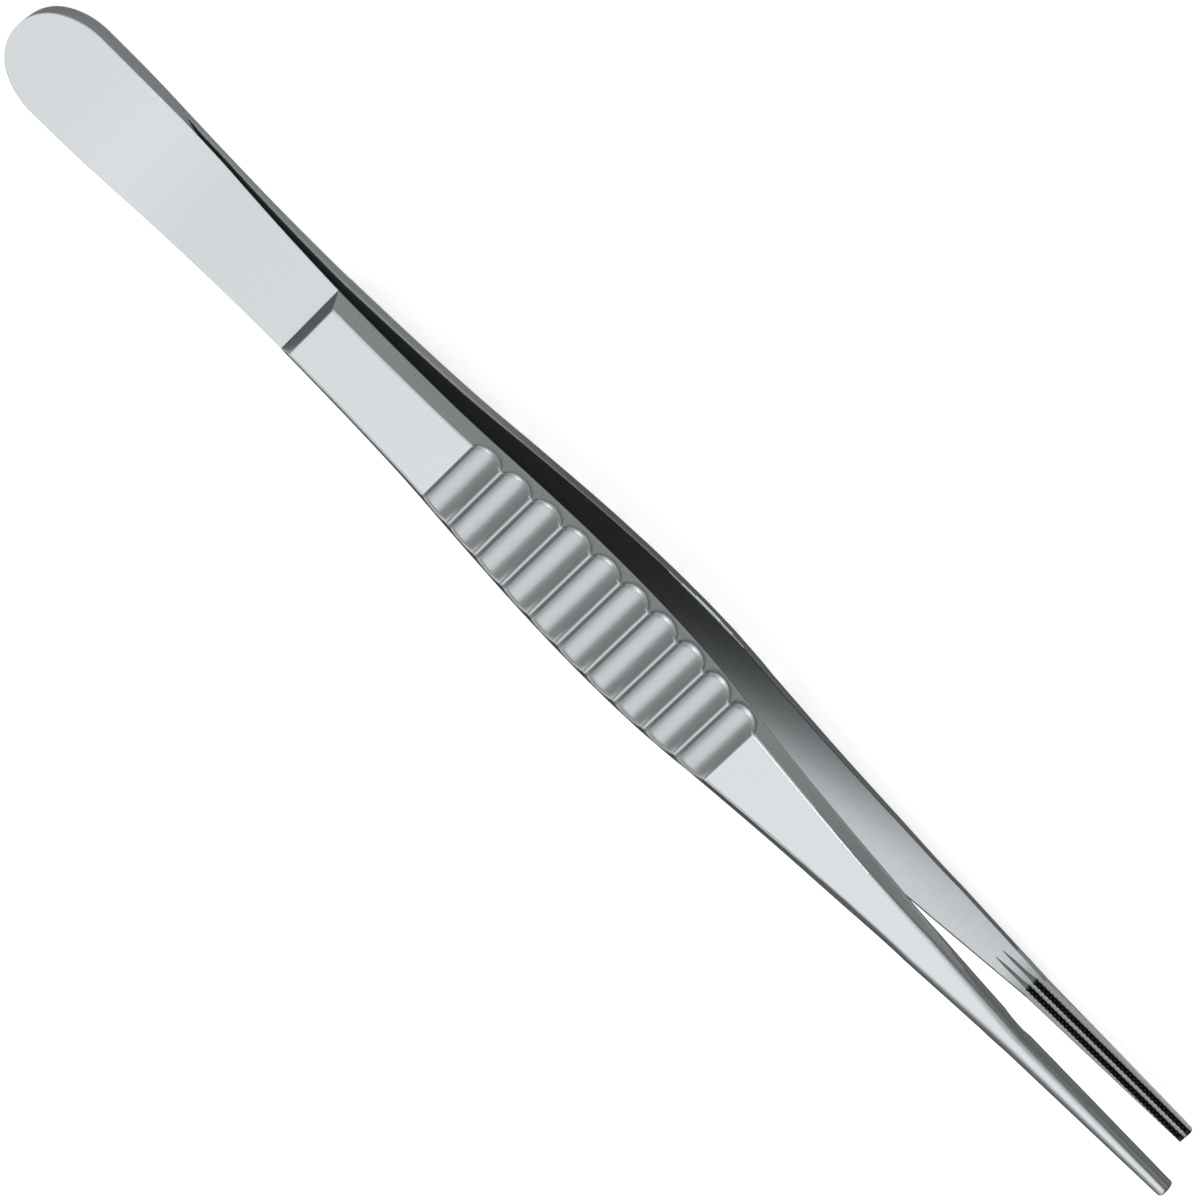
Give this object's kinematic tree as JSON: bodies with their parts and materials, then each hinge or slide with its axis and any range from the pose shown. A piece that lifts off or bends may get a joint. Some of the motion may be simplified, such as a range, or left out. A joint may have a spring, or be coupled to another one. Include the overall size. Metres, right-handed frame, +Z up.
{
  "type": "thumb forceps",
  "caption": "Steel thumb forceps with two spring arms welded at the rear, fluted finger grips, slim tapering shanks and finely serrated atraumatic jaws.",
  "frame": {"origin": "middle of the bounding box in plan, on the table that the lower arm lies on", "axes": "+X from the welded rear end towards the jaws, +Z up from the lower arm to the upper arm, Y across the arms"},
  "size_m": [0.1502, 0.0108, 0.015],
  "materials": {
    "steel": "satin"
  },
  "bodies": {
    "root": {"upper_arm": "steel", "lower_arm": "steel"}
  },
  "joints": []
}
